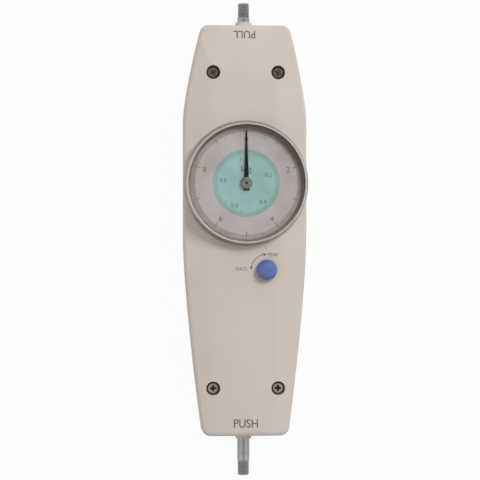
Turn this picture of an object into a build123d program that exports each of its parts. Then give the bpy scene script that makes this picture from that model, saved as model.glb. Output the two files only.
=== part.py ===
"""Mechanical push-pull force gauge with a dial, lying on its back.

Origin: centre of the flat rear face. +Z comes out of the dial, +Y runs along the measuring shaft
towards the pull end, +X is to the right as the dial is read. Millimetres.
"""

from build123d import *
from math import acos, atan2, cos, pi, radians, sin, sqrt, tan
import os

os.makedirs("parts", exist_ok=True)

# ---- casing -------------------------------------------------------------------------------
LENGTH = 197.5            # casing, end to end
HALF_WIDTH = 29.8         # at the straight flanks
PULL_HALF = HALF_WIDTH - 8.8    # half-width at the pull end
PUSH_HALF = HALF_WIDTH - 9.2    # half-width at the push end
WALL = 2.5                # side walls of both halves
REAR_FLOOR = 3.0          # rear wall
FRONT_WALL = 2.8
END_RADIUS = 4.3          # corners seen from the front
DRAFT = 3.0               # degrees, rear half
REAR_EDGE = 3.0           # rounding round the rear face
FRONT_EDGE = 2.6          # rounding round the front face
STRIP = HALF_WIDTH - 13.8 # half-width of the flat middle strip
CREASE_R = 20.0           # soft fold between strip and side
SEAM = 0.3                # chamfer of both halves at the parting plane
SIDE_SLOPE = 20.0         # degrees, from the strip out to the flanks
FACET_Y = LENGTH / 2 - 23.3     # where the sloping face at the pull end starts
FACET_SLOPE = 7.0         # degrees
FACET_R = 45.0            # soft fold where it starts

# ---- heights, each from the one below --------------------------------------------------------
Z_ROD = 26.0              # axis of the measuring shaft over the rear face
Z_PART = Z_ROD + 6.0      # parting plane of the casing
Z_FACE = Z_ROD + 16.5     # flat front face
Z_CEILING = Z_FACE - FRONT_WALL
Z_RIM = Z_FACE + 7.5      # top of the bezel
TALL = Z_RIM + 10.0       # upper end of every upright cutter
FAR = LENGTH              # reach of every lengthwise cutter

# ---- measuring shaft ---------------------------------------------------------------------------
ROD_R = 2.9
THREAD_R = 2.9            # crest radius of the M6 ends
PULL_TIP = LENGTH / 2 + 11.85
PUSH_TIP = LENGTH / 2 + 20.35
THREAD_LENGTH = 6.6
COLLAR_R = 5.9            # inside the end walls, round the shaft
SEAL_R = 4.5
TRAVEL = 10.0             # full load
RUNNING = 0.05            # radial clearance of a running fit
FREE = 0.4                # radial clearance of a hole a part only passes through

# ---- dial and bezel ----------------------------------------------------------------------------
DIAL_Y = 22.5             # height of the dial's centre on the face
BEZEL_R = HALF_WIDTH + 0.2      # stands just proud of the flanks
RIM_R = BEZEL_R - 1.3
DIAL_R = BEZEL_R - 2.1    # room inside the bezel
PLINTH_R = BEZEL_R - 0.4
SPIGOT_R = BEZEL_R - 3.4
SPIGOT_H = 1.5
SNAP_DEPTH = 0.4          # groove for the snap ring, in the spigot and in the bezel
SNAP_Z = Z_FACE + 0.45
SNAP_H = 0.6
DIAL_OPENING = SPIGOT_R - 4.6
DIAL_PLATE = 0.8
LENS = 1.5

# ---- knob --------------------------------------------------------------------------------------
KNOB_X, KNOB_Y = 10.0, -19.0
KNOB_R = 5.0
KNOB_H = 6.4
SPINDLE_R = 2.0
KNOB_BUSH_R = 3.5

# ---- fasteners ---------------------------------------------------------------------------------
SCREW_X, SCREW_Y = PULL_HALF - 5.4, LENGTH / 2 - 23.0
COUNTERBORE_R = 3.35
COUNTERBORE_H = 4.2
M3_R = 1.5
MOUNT_X, MOUNT_Y = 15.5, 55.0   # tapped holes in the rear face
MOUNT_R = 2.1
MOUNT_DEPTH = 7.0

# ---- gear train --------------------------------------------------------------------------------
RACK_PITCH = 1.25
RACK_MODULE = RACK_PITCH / pi
PINION_TEETH = 16
WHEEL_TEETH = 60
CENTRE_TEETH = 30
WHEEL_MODULE = 0.4
CENTRES = WHEEL_MODULE * (WHEEL_TEETH + CENTRE_TEETH) / 2
TRANSFER_Y = DIAL_Y - CENTRES
PITCH_X = RACK_MODULE * PINION_TEETH / 2
THIN = 0.04               # taken off each flank for backlash
PRESSURE = radians(20)

# ---- chassis and movement ------------------------------------------------------------------------
CHASSIS_Z = 5.0           # under side of the chassis strip
CHASSIS_T = 1.5
STRIP_X = 10.0            # half-width of the narrow ends
TABLE_X = 21.5            # half-width under the movement
LUG_Y = LENGTH / 2 - 10.0 # outer face of each bent-up end
LUG_T = 2.0
PLATE_X = 20.5
PLATE_BOTTOM = -11.8
PLATE_TOP = 36.0
BASE_T = 1.0
TOP_T = 0.9
PILLARS = [(-18.3, -9.0), (18.3, -9.0), (-15.5, 31.0), (15.5, 31.0)]

Z_TABLE = CHASSIS_Z + CHASSIS_T
Z_BASE = Z_ROD + 4.0
Z_RACK = Z_BASE + BASE_T + 0.4
RACK_T = 1.8
Z_WHEEL = Z_RACK + RACK_T + 0.5
GEAR_T = 1.0
Z_DRUM = Z_WHEEL + GEAR_T + 0.4
Z_TOP = Z_DRUM + GEAR_T + 0.4
PIVOT_R = 0.8
ARBOR_R = 1.5

# ---- peak hold -----------------------------------------------------------------------------------
DRUM_R = 8.0
STUD_X, STUD_Y = 14.5, 5.0
CAM_R = 3.0
CAM_OFF = 0.55
PAD_GAP = 1.1

# ---- spring -----------------------------------------------------------------------------------
COLLAR_Y = 36.0
COLLAR_T = 3.0
BRACKET_Y = LENGTH / 2 - 31.75
SPRING_R = 6.5
WIRE_R = 0.55
COILS = 6.6


def save(shape, name):
    """Write one named piece."""
    shape.label = name
    export_step(shape, os.path.join("parts", name + ".step"))


def disc(r, z0, z1, x=0.0, y=0.0):
    """Upright cylinder between two heights."""
    return Pos(x, y, z0) * extrude(Circle(r), z1 - z0)


def hole(r, x=0.0, y=0.0):
    """Upright cutter through everything."""
    return disc(r, -1, TALL, x, y)


def bar(r, y0, y1, x=0.0, z=Z_ROD):
    """Cylinder along the shaft's direction between two stations."""
    return Pos(x, y0, z) * Rot(-90, 0, 0) * extrude(Circle(r), y1 - y0)


def block(x0, x1, y0, y1, z0, z1):
    """Box by its limits."""
    size = (x1 - x0, y1 - y0, z1 - z0)
    return Pos(x0, y0, z0) * Box(*size, align=(Align.MIN, Align.MIN, Align.MIN))


def chain(start, direction, stations):
    """Arcs through the stations, each leaving in the direction the last one arrived in."""
    edges = []
    for end in stations:
        arc = TangentArc(start, end, tangent=direction)
        edges.append(arc)
        start, direction = end, arc % 1
    return edges


def casing_outline(inset=0.0):
    """The casing from the front: straight flanks that curve in towards both ends."""
    end = LENGTH / 2
    shoulder, hip = 0.506 * end, 0.0
    up = chain((HALF_WIDTH, shoulder), (0, 1), [(HALF_WIDTH - 1.06, 0.638 * end), (PULL_HALF, end)])
    down = chain((HALF_WIDTH, hip), (0, -1), [(HALF_WIDTH - 0.94, -0.243 * end), (PUSH_HALF, -end)])
    right = up + down + [Line((HALF_WIDTH, hip), (HALF_WIDTH, shoulder))]
    left = [mirror(e, Plane.YZ) for e in right]
    across = [Line((-PULL_HALF, end), (PULL_HALF, end)), Line((-PUSH_HALF, -end), (PUSH_HALF, -end))]
    face = Face(Wire.combine(right + left + across)[0])
    corners = [v for v in face.vertices() if abs(abs(v.Y) - end) < 0.01]
    face = face.fillet_2d(END_RADIUS, corners)
    if face.normal_at().Z < 0:
        face = -face
    if inset:
        face = offset(face, -inset, kind=Kind.INTERSECTION).face()
    return face


def section_prism(drop):
    """Long prism with the cross-section of the front: flat strip, sloping sides."""
    reach = HALF_WIDTH + 4
    low = Z_PART / 2
    edge_z = Z_FACE - drop - (reach - STRIP) * tan(radians(SIDE_SLOPE))
    pts = [(-reach, low), (-reach, edge_z), (-STRIP, Z_FACE - drop), (STRIP, Z_FACE - drop)]
    pts += [(reach, edge_z), (reach, low)]
    face = Face(Wire.make_polygon(pts))
    creases = [v for v in face.vertices() if abs(abs(v.X) - STRIP) < 0.01]
    face = face.fillet_2d(CREASE_R, creases)
    return extrude(Plane.XZ * face, FAR, both=True)


def side_prism(drop):
    """Wide prism with the side view of the front: level, then sloping at the pull end."""
    reach, top, low = LENGTH / 2 + 5, Z_FACE - drop, Z_PART / 2
    end_z = top - (reach - FACET_Y) * tan(radians(FACET_SLOPE))
    face = Face(Wire.make_polygon([(-reach, low), (-reach, top), (FACET_Y, top), (reach, end_z), (reach, low)]))
    crease = [v for v in face.vertices() if abs(v.X - FACET_Y) < 0.01]
    face = face.fillet_2d(FACET_R, crease)
    return extrude(Plane.YZ * face, 2 * HALF_WIDTH, both=True)


def front_form(inset, drop):
    """Everything above the parting plane, pushed in by the inset and down by the drop."""
    face = casing_outline(inset)
    prism = Pos(0, 0, Z_PART) * extrude(face, TALL - Z_PART)
    return prism & section_prism(drop) & side_prism(drop)


def top_edges(solid, outline):
    """Edges where the flanks meet the front surface."""
    rim = outline.outer_wire()
    found = []
    for e in solid.edges():
        m = e @ 0.5
        if m.Z > Z_PART + 0.5 and abs((e @ 0).Z - (e @ 1).Z) < 8:
            on = rim.distance_to(Vector(m.X, m.Y, 0)) < 0.01
            if on and abs((e % 0.5).Z) < 0.9 and m.X > 0.1:
                found.append(e)
    return found


def front_casing():
    """Cover with the sloping sides, the dial's plinth and spigot, and the screw posts."""
    half = front_form(0, 0) & block(0, 2 * HALF_WIDTH, -FAR, FAR, 0, TALL)
    half = fillet(top_edges(half, casing_outline()), FRONT_EDGE)
    seam = half.faces().sort_by(Axis.Z)[0].edges().filter_by(lambda e: (e @ 0.5).X > 0.1)
    half = chamfer(seam, SEAM)
    body = half + mirror(half, Plane.YZ)
    plinth = disc(PLINTH_R, Z_PART + 2, Z_FACE, 0, DIAL_Y)
    spigot = disc(SPIGOT_R, Z_FACE - 1, Z_FACE + SPIGOT_H, 0, DIAL_Y)
    body = body + plinth + spigot
    hollow = front_form(WALL, FRONT_WALL)
    room = disc(PLINTH_R - WALL, Z_PART, Z_CEILING, 0, DIAL_Y)
    body = body - hollow - room - hole(DIAL_OPENING, 0, DIAL_Y)
    groove = disc(SPIGOT_R + 1, SNAP_Z, SNAP_Z + SNAP_H, 0, DIAL_Y)
    body -= groove - hole(SPIGOT_R - SNAP_DEPTH, 0, DIAL_Y)
    body += locating_lip()
    for x in (-SCREW_X, SCREW_X):
        for y in (-SCREW_Y, SCREW_Y):
            body += disc(COUNTERBORE_R + 1.65, Z_PART, Z_CEILING, x, y)
            body -= disc(COUNTERBORE_R, Z_FACE - COUNTERBORE_H, Z_RIM, x, y)
            body -= hole(M3_R + 0.2, x, y)
    body += disc(KNOB_BUSH_R + 2.5, Z_CEILING - 1.5, Z_CEILING + 1, KNOB_X, KNOB_Y)
    return body - hole(KNOB_BUSH_R, KNOB_X, KNOB_Y)


def locating_lip():
    """Thin wall that drops inside the rear half, open where the shaft's collars are."""
    deep = 1.5
    lip = extrude(casing_outline(WALL + 0.15), 2 * deep) - extrude(casing_outline(WALL + 1.25), 2 * deep)
    lip -= block(-COLLAR_R - 2, COLLAR_R + 2, -FAR, FAR, 0, 2 * deep)
    return Pos(0, 0, Z_PART - deep) * lip


def rear_form(inset, bottom):
    """Tub with drafted sides below the parting plane."""
    face = Pos(0, 0, Z_PART) * casing_outline(inset)
    return extrude(face, amount=Z_PART - bottom, dir=(0, 0, -1), taper=DRAFT)


def rear_casing():
    """Tub with screw posts, chassis bosses, tapped rear bosses and collars round the shaft."""
    outer = rear_form(0, 0)
    outer = fillet(outer.faces().sort_by(Axis.Z)[0].edges(), REAR_EDGE)
    outer = chamfer(outer.faces().sort_by(Axis.Z)[-1].edges(), SEAM)
    body = outer - rear_form(WALL, REAR_FLOOR)
    for x in (-1, 1):
        for y in (-1, 1):
            body += disc(4.0, REAR_FLOOR - 1, Z_PART, x * SCREW_X, y * SCREW_Y)
            body -= disc(M3_R, Z_PART - 15, Z_PART + 1, x * SCREW_X, y * SCREW_Y)
            body += disc(4.6, 1, REAR_FLOOR + 6, x * MOUNT_X, y * MOUNT_Y)
            body -= disc(MOUNT_R, -1, MOUNT_DEPTH, x * MOUNT_X, y * MOUNT_Y)
    for x, y in CHASSIS_SCREWS:
        body += disc(3.5, REAR_FLOOR - 1, CHASSIS_Z, x, y)
        body -= disc(M3_R, 1, CHASSIS_Z + 1, x, y)
    for end in (-1, 1):
        collar = sorted((end * (LENGTH / 2 - 6), end * (LENGTH / 2 - 1)))
        body += bar(COLLAR_R, *collar)
        cone = extrude(Circle(ROD_R + 1.9), 4.0, taper=14)
        body += Pos(0, end * (LENGTH / 2 - 1.5), Z_ROD) * Rot(-90 * end, 0, 0) * cone
        pocket = sorted((end * (LENGTH / 2 - 7), end * (LENGTH / 2 - 3)))
        body -= bar(SEAL_R, *pocket)
    return body - bar(ROD_R + FREE, -FAR, FAR)


CHASSIS_SCREWS = [(-12.0, -17.0), (12.0, -17.0), (-12.0, 41.0), (12.0, 41.0)]
BRACKET_SCREWS = [(-5.5, BRACKET_Y + 6), (5.5, BRACKET_Y + 6), (-5.5, -20.0), (5.5, -20.0)]


def chassis():
    """Bent strip: a floor that widens under the movement and two ends turned up for the bushes."""
    end = LUG_Y
    floor = block(-STRIP_X, STRIP_X, -end, end, CHASSIS_Z, Z_TABLE)
    table = block(-TABLE_X, TABLE_X, -24, 47, CHASSIS_Z, Z_TABLE)
    table = fillet(table.edges().filter_by(Axis.Z), 3)
    body = floor + table
    for s in (-1, 1):
        a, b = sorted((s * (end - LUG_T), s * end))
        lug = block(-STRIP_X, STRIP_X, a, b, CHASSIS_Z, Z_PART - 0.5)
        lug = fillet(lug.edges().filter_by(Axis.Y).sort_by(Axis.Z)[-2:], 3)
        body += lug
        body -= bar(5.0, a - 1, b + 1)
    inner = body.edges().filter_by(Axis.X).filter_by(lambda e: abs(e.center().Z - Z_TABLE) < 0.01)
    inner = [e for e in inner if abs(abs(e.center().Y) - (end - LUG_T)) < 0.01]
    body = fillet(inner, 1.5)
    outer = body.edges().filter_by(Axis.X).filter_by(lambda e: abs(e.center().Z - CHASSIS_Z) < 0.01)
    outer = [e for e in outer if abs(abs(e.center().Y) - end) < 0.01]
    body = fillet(outer, 2.5)
    for x, y in CHASSIS_SCREWS + BRACKET_SCREWS:
        body -= disc(M3_R, 0, Z_ROD, x, y)
    wide, low, high = PIN_R + RUNNING, PIN_Y, PIN_Y + TRAVEL
    slot = block(-wide, wide, low, high, 0, Z_ROD)
    slot += disc(wide, 0, Z_ROD, 0, low) + disc(wide, 0, Z_ROD, 0, high)
    return body - slot


def pan_screw(x, y, seat, tip):
    """Small pan-head screw seen as head and shank."""
    head = disc(2.7, seat, seat + 1.8, x, y)
    head = chamfer(head.edges().sort_by(Axis.Z)[-1], 0.6)
    return head + disc(M3_R, tip, seat, x, y)


def chassis_screws():
    """Four screws into the casing's bosses."""
    return Compound([pan_screw(x, y, Z_TABLE, 1.2) for x, y in CHASSIS_SCREWS])


def bracket_screws():
    """Four screws that hold the spring bracket and the stop bracket."""
    return Compound([pan_screw(x, y, Z_TABLE + 2, CHASSIS_Z - 0.8) for x, y in BRACKET_SCREWS])


def casing_screws():
    """Long screws with pan heads in the counterbores."""
    seat = Z_FACE - COUNTERBORE_H
    screws = []
    for x in (-SCREW_X, SCREW_X):
        for y in (-SCREW_Y, SCREW_Y):
            head = disc(COUNTERBORE_R - 0.35, seat, seat + 2.4, x, y)
            head = chamfer(head.edges().sort_by(Axis.Z)[-1], 0.7)
            screws.append(head + disc(M3_R, Z_PART - 14, seat, x, y))
    return Compound(screws)


def turned(profile):
    """Turned piece along the shaft from (station, radius) corners."""
    y0, y1 = profile[0][0], profile[-1][0]
    pts = [(0, y0)] + [(r, y) for y, r in profile] + [(0, y1)]
    face = Face(Wire.make_polygon(pts))
    return Pos(0, 0, Z_ROD) * revolve(face, Axis.Y)


def pull_rod():
    """Rod out of the pull end: smooth, relief groove, thread crest, chamfered tip."""
    start = PULL_TIP - THREAD_LENGTH
    return turned([(5, ROD_R), (start - 0.8, ROD_R), (start - 0.8, 2.4), (start, 2.4),
                   (start, THREAD_R), (PULL_TIP - 0.7, THREAD_R), (PULL_TIP, 2.25)])


def push_rod():
    """Rod out of the push end, the same way but longer."""
    start = -PUSH_TIP + THREAD_LENGTH
    return turned([(-PUSH_TIP, 2.25), (-PUSH_TIP + 0.7, THREAD_R), (start, THREAD_R),
                   (start, 2.4), (start + 0.8, 2.4), (start + 0.8, ROD_R), (-1, ROD_R)])


POSTS = [(5.6, -8.0), (5.6, 6.0)]
POST_R = 1.0
PIN_R = 1.5
PIN_Y = 2.0
PIN_TOP = Z_ROD - ROD_R - 0.4
CARRIAGE = (-7.5, 7.5, -12.0, 16.0, Z_ROD - 5, Z_BASE - 0.4)


def carriage():
    """Block that joins the two rods, drilled for them, for the rack's posts and the guide pin."""
    body = block(*CARRIAGE)
    body = chamfer(body.edges().filter_by(Axis.Z), 0.8)
    body -= bar(ROD_R, -FAR, FAR)
    for x, y in POSTS:
        body -= disc(POST_R, Z_ROD + 0.5, TALL, x, y)
    return body - disc(PIN_R, 0, PIN_TOP, 0, PIN_Y)


def guide_pin():
    """Pin under the carriage that runs in the chassis slot."""
    return disc(PIN_R, CHASSIS_Z - 0.9, PIN_TOP, 0, PIN_Y)


def rack():
    """Bar with teeth towards the pinion, flanks straight as on any involute rack."""
    add, ded = 0.36, 1.25 * RACK_MODULE
    half = RACK_PITCH / 4 - THIN
    slope = tan(PRESSURE)
    y0, y1 = -10.5, 9.0
    pts = [(7.2, y0), (7.2, y1), (PITCH_X + ded, y1)]
    gap = TRANSFER_Y
    centres = [gap + RACK_PITCH * (k + 0.5) for k in range(-12, 4)]
    centres = [c for c in centres if y0 + 0.7 < c < y1 - 0.7]
    for c in reversed(centres):
        pts += [(PITCH_X + ded, c + half + ded * slope), (PITCH_X - add, c + half - add * slope)]
        pts += [(PITCH_X - add, c - half + add * slope), (PITCH_X + ded, c - half - ded * slope)]
    pts += [(PITCH_X + ded, y0)]
    body = Pos(0, 0, Z_RACK) * extrude(Face(Wire.make_polygon(pts)), RACK_T)
    for x, y in POSTS:
        body -= hole(POST_R, x, y)
    return body


def rack_posts():
    """Two pins that carry the rack on the carriage, through the slot in the base plate."""
    pins = []
    for x, y in POSTS:
        pin = disc(POST_R, Z_ROD + 0.5, Z_RACK + RACK_T, x, y)
        pins.append(pin + disc(POST_R + 0.25, Z_BASE - 0.4, Z_RACK, x, y))
    return Compound(pins)


def gear(teeth, module, bore, z, x, y, thick, tooth_at):
    """Spur gear; each flank is an arc through three points of the involute."""
    rp = module * teeth / 2
    rb = rp * cos(PRESSURE)
    tip, root = rp + 0.95 * module, rp - 1.25 * module
    at_pitch = tan(PRESSURE) - PRESSURE
    half = pi / (2 * teeth) - THIN / rp

    def lean(r):
        """Angle between the tooth's middle and its flank at a radius."""
        a = acos(min(1.0, rb / r))
        return half + at_pitch - (tan(a) - a)

    def at(r, angle):
        return (r * cos(angle), r * sin(angle))

    foot = max(rb, root)
    mid = (foot + tip) / 2
    edges = []
    for k in range(teeth):
        c = tooth_at + 2 * pi * k / teeth
        low, high = c - lean(foot), c + lean(foot)
        if foot > root:
            edges.append(Line(at(root, low), at(foot, low)))
            edges.append(Line(at(foot, high), at(root, high)))
        edges.append(ThreePointArc(at(foot, low), at(mid, c - lean(mid)), at(tip, c - lean(tip))))
        edges.append(ThreePointArc(at(tip, c + lean(tip)), at(mid, c + lean(mid)), at(foot, high)))
        edges.append(Line(at(tip, c - lean(tip)), at(tip, c + lean(tip))))
        after = c + 2 * pi / teeth - lean(foot)
        edges.append(Line(at(root, high), at(root, after)))
    face = Face(Wire.combine(edges)[0])
    body = Pos(x, y, z) * extrude(face, thick, dir=(0, 0, 1))
    return body - disc(bore, z - 1, z + thick + 1, x, y)


def rack_pinion():
    return gear(PINION_TEETH, RACK_MODULE, ARBOR_R, Z_RACK, 0, TRANSFER_Y, RACK_T, 0.0)


def transfer_wheel():
    """Large wheel with five round lightening holes."""
    body = gear(WHEEL_TEETH, WHEEL_MODULE, ARBOR_R, Z_WHEEL, 0, TRANSFER_Y, GEAR_T, pi / 2)
    for k in range(5):
        a = 2 * pi * k / 5
        body -= disc(2.6, Z_WHEEL - 1, Z_TOP, 6.6 * cos(a), TRANSFER_Y + 6.6 * sin(a))
    return body


def centre_pinion():
    return gear(CENTRE_TEETH, WHEEL_MODULE, ARBOR_R, Z_WHEEL, 0, DIAL_Y, GEAR_T, -pi / 2 + pi / CENTRE_TEETH)


def transfer_arbor():
    """Arbor with a pivot at each end."""
    body = disc(ARBOR_R, Z_BASE + BASE_T + 0.1, Z_TOP - 0.1, 0, TRANSFER_Y)
    return body + disc(PIVOT_R, Z_BASE + 0.1, Z_TOP + TOP_T - 0.1, 0, TRANSFER_Y)


def centre_arbor():
    """Arbor that carries the pointer, thinner above the movement."""
    body = disc(ARBOR_R, Z_BASE + BASE_T + 0.1, Z_TOP - 0.1, 0, DIAL_Y)
    body += disc(PIVOT_R, Z_BASE + 0.1, Z_TOP, 0, DIAL_Y)
    return body + disc(1.0, Z_TOP - 0.2, Z_HUB + 1.0, 0, DIAL_Y)


def brake_drum():
    """Smooth rim on the centre arbor; the peak lever bears on it."""
    body = disc(DRUM_R, Z_DRUM, Z_DRUM + GEAR_T, 0, DIAL_Y)
    for k in range(3):
        a = 2 * pi * k / 3 + pi / 2
        body -= disc(1.8, Z_DRUM - 1, Z_TOP, 4.6 * cos(a), DIAL_Y + 4.6 * sin(a))
    return body - disc(ARBOR_R, Z_DRUM - 1, Z_TOP, 0, DIAL_Y)


def movement_plate(z, thick, arbor_hole):
    """Plate with rounded corners, pillar holes and pivot holes."""
    face = Pos(0, (PLATE_TOP + PLATE_BOTTOM) / 2, z) * RectangleRounded(
        2 * PLATE_X, PLATE_TOP - PLATE_BOTTOM, 3)
    body = extrude(face, thick, dir=(0, 0, 1))
    for x, y in PILLARS:
        body -= hole(1.0, x, y)
    return body - hole(PIVOT_R + RUNNING, 0, TRANSFER_Y) - hole(arbor_hole, 0, DIAL_Y)


def movement_base_plate():
    """Lower plate, slotted for the rack's posts."""
    body = movement_plate(Z_BASE, BASE_T, PIVOT_R + RUNNING)
    x, wide = POSTS[0][0], POST_R + 0.65
    low, high = POSTS[0][1], POSTS[1][1] + TRAVEL
    slot = block(x - wide, x + wide, low, high, 0, TALL) + hole(wide, x, low) + hole(wide, x, high)
    return body - slot - hole(PIVOT_R, STUD_X, STUD_Y)


def movement_top_plate():
    """Upper plate."""
    body = movement_plate(Z_TOP, TOP_T, 1.0 + RUNNING)
    for x, y in PILLARS:
        cone = Pos(x, y, Z_TOP + TOP_T) * extrude(Circle(1.9), TOP_T, dir=(0, 0, -1), taper=45)
        body -= cone
    return body - hole(PIVOT_R, STUD_X, STUD_Y)


def chassis_pillars():
    """Four posts that hold the movement over the shaft."""
    return Compound([disc(2.5, Z_TABLE, Z_BASE, x, y) for x, y in PILLARS])


def plate_pillars():
    """Four short posts between the movement's plates, bored for the screws."""
    posts = [disc(1.8, Z_BASE + BASE_T, Z_TOP, x, y) for x, y in PILLARS]
    tenons = [disc(1.0, Z_BASE, Z_BASE + BASE_T, x, y) for x, y in PILLARS]
    bores = [disc(1.0, Z_TOP - 3, Z_TOP, x, y) for x, y in PILLARS]
    return Compound([p + t - b for p, t, b in zip(posts, tenons, bores)])


def plate_screws():
    """Four countersunk screws in the top plate."""
    screws = []
    for x, y in PILLARS:
        cone = Pos(x, y, Z_TOP + TOP_T) * extrude(Circle(1.9), TOP_T, dir=(0, 0, -1), taper=45)
        screws.append(cone + disc(1.0, Z_TOP - 2.9, Z_TOP + 0.1, x, y))
    return Compound(screws)


def bush(end):
    """Flanged plain bearing in a chassis end."""
    inner = LUG_Y - LUG_T
    body = bar(5.0, inner, LUG_Y + 1.5)
    body += bar(6.5, inner - 1.5, inner)
    body -= bar(ROD_R + 0.03, 0, FAR)
    return body if end > 0 else mirror(body, Plane.XZ)


def seal(end):
    """Felt ring in the collar of the casing."""
    body = bar(SEAL_R, LENGTH / 2 - 5.5, LENGTH / 2 - 3) - bar(ROD_R + RUNNING, 0, FAR)
    return body if end > 0 else mirror(body, Plane.XZ)


def bracket(face_y, foot_side):
    """Angle with a hole for the shaft: upright plate, foot on the chassis."""
    up0, up1 = sorted((face_y, face_y + 2 * foot_side))
    foot0, foot1 = sorted((face_y, face_y + 10 * foot_side))
    plate = block(-9, 9, up0, up1, Z_TABLE, Z_ROD + 7)
    plate = fillet(plate.edges().filter_by(Axis.Y).sort_by(Axis.Z)[-2:], 4)
    body = plate + block(-9, 9, foot0, foot1, Z_TABLE, Z_TABLE + 2)
    return body - bar(ROD_R + FREE, foot0 - 1, foot1 + 1)


def spring_bracket():
    body = bracket(BRACKET_Y, 1)
    for x, y in BRACKET_SCREWS[:2]:
        body -= disc(M3_R, 0, Z_ROD, x, y)
    return body


def stop_bracket():
    body = bracket(CARRIAGE[2] - 1.0, -1)
    for x, y in BRACKET_SCREWS[2:]:
        body -= disc(M3_R, 0, Z_ROD, x, y)
    return body


def stop_washer():
    """Rubber ring the carriage rests on."""
    face = CARRIAGE[2] - 1.0
    return bar(5.5, face, face + 0.95) - bar(ROD_R + FREE, face - 1, face + 2)


def spring_collar():
    body = bar(8.0, COLLAR_Y, COLLAR_Y + COLLAR_T)
    body = chamfer(body.edges().filter_by(GeomType.CIRCLE), 0.4)
    return body - bar(ROD_R, 0, FAR)


def overload_sleeve():
    """Tube inside the spring that meets the bracket at full load."""
    top = COLLAR_Y + COLLAR_T
    return bar(ROD_R + 1.8, top, BRACKET_Y - TRAVEL - 0.05) - bar(ROD_R, 0, FAR)


def measuring_spring():
    """Compression spring between the collar and the bracket."""
    y0 = COLLAR_Y + COLLAR_T + WIRE_R + 0.02
    height = BRACKET_Y - WIRE_R - 0.02 - y0
    path = Helix(pitch=height / COILS, height=height, radius=SPRING_R)
    at = path @ 0
    plane = Plane(origin=at, z_dir=path % 0)
    wire = sweep(plane * RegularPolygon(WIRE_R, 4), path, is_frenet=True)
    return Pos(0, y0, Z_ROD) * Rot(-90, 0, 0) * wire


Z_DIAL = Z_FACE + SPIGOT_H + 0.1
Z_HUB = Z_DIAL + DIAL_PLATE + 0.4
NEEDLE_T = 0.35
Z_LENS = Z_RIM - 1.1 - LENS


def dial_turned(pts):
    """Ring or disc about the dial's axis from (radius, height) corners."""
    face = Face(Wire.make_polygon([(r, z) for r, z in pts]))
    return Pos(0, DIAL_Y, 0) * revolve(Plane.XZ * face, Axis.Z)


def bezel_ring():
    """Turned ring: straight skirt, long cone up to a narrow rim, ledge and groove inside."""
    low, bore = Z_FACE + RUNNING, SPIGOT_R + RUNNING
    groove = bore + SNAP_DEPTH + 0.1
    pts = [(bore, low), (BEZEL_R, low), (BEZEL_R, low + 1.1), (RIM_R, Z_RIM - 0.25)]
    pts += [(RIM_R - 0.2, Z_RIM), (DIAL_R + 0.15, Z_RIM), (DIAL_R, Z_RIM - 0.2)]
    pts += [(DIAL_R, Z_DIAL), (bore, Z_DIAL)]
    top, under = SNAP_Z + SNAP_H + RUNNING, SNAP_Z - RUNNING
    pts += [(bore, top), (groove, top), (groove, under), (bore, under)]
    return dial_turned(pts)


def bezel_snap_ring():
    """Split spring ring in the spigot's groove; it keeps the bezel on and lets it turn."""
    r0, r1 = SPIGOT_R - SNAP_DEPTH, SPIGOT_R + SNAP_DEPTH
    z0, z1 = SNAP_Z + 0.02, SNAP_Z + SNAP_H - 0.02
    ring = dial_turned([(r0, z0), (r1, z0), (r1, z1), (r0, z1)])
    return ring - block(-1.2, 1.2, -FAR, DIAL_Y - SPIGOT_R / 2, Z_FACE, Z_RIM)


def dial_plate():
    return disc(DIAL_R, Z_DIAL, Z_DIAL + DIAL_PLATE, 0, DIAL_Y) - hole(2.0, 0, DIAL_Y)


def dial_spacer():
    """Ring between dial and lens, its inner face sloping outwards to the lens."""
    z = Z_DIAL + DIAL_PLATE
    return dial_turned([(DIAL_R - 1.5, z), (DIAL_R, z), (DIAL_R, Z_LENS), (DIAL_R - 0.3, Z_LENS)])


def lens():
    body = disc(DIAL_R, Z_LENS, Z_LENS + LENS, 0, DIAL_Y)
    return chamfer(body.edges().filter_by(GeomType.CIRCLE).sort_by(Axis.Z)[-1], 0.3)


def pointer():
    """Tapering needle with a short tail, at zero."""
    reach, wide, tail = DIAL_R - 2.9, 1.15, 1.4
    pts = [(-wide, 0), (-0.28, reach), (0.28, reach), (wide, 0), (tail, -3.4), (-tail, -3.4)]
    face = Face(Wire.make_polygon([(x, DIAL_Y + y) for x, y in pts]))
    body = Pos(0, 0, Z_HUB) * extrude(face, NEEDLE_T, dir=(0, 0, 1))
    body += disc(2.4, Z_HUB, Z_HUB + NEEDLE_T, 0, DIAL_Y)
    return body - hole(1.6, 0, DIAL_Y)


def pointer_hub():
    """Turned hub pressed on the arbor, holding the needle."""
    seat = Z_HUB + NEEDLE_T
    body = disc(1.6, Z_HUB - 0.1, seat, 0, DIAL_Y) + disc(2.85, seat, seat + 0.75, 0, DIAL_Y)
    body = chamfer(body.edges().sort_by(Axis.Z)[-1], 0.25)
    return body - disc(1.0, 0, Z_HUB + 1.0, 0, DIAL_Y)


def knob_cap():
    """Domed cap on the spindle."""
    z = Z_FACE + 0.4
    rise = 2.2
    crown = KNOB_H - rise
    hole, depth = SPINDLE_R, z + 4.0
    corners = [(0, z + KNOB_H), (0, depth), (hole, depth), (hole, z), (KNOB_R - 0.3, z)]
    corners += [(KNOB_R, z + 0.3), (KNOB_R, z + rise)]
    edges = [Line(a, b) for a, b in zip(corners, corners[1:])]
    ball = (KNOB_R ** 2 + crown ** 2) / (2 * crown)
    dome = (ball * sin(pi / 4), z + KNOB_H - ball * (1 - cos(pi / 4)))
    edges.append(ThreePointArc((KNOB_R, z + rise), dome, (0, z + KNOB_H)))
    profile = Face(Wire.combine(edges)[0])
    return Pos(KNOB_X, KNOB_Y, 0) * revolve(Plane.XZ * profile, Axis.Z)


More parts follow.
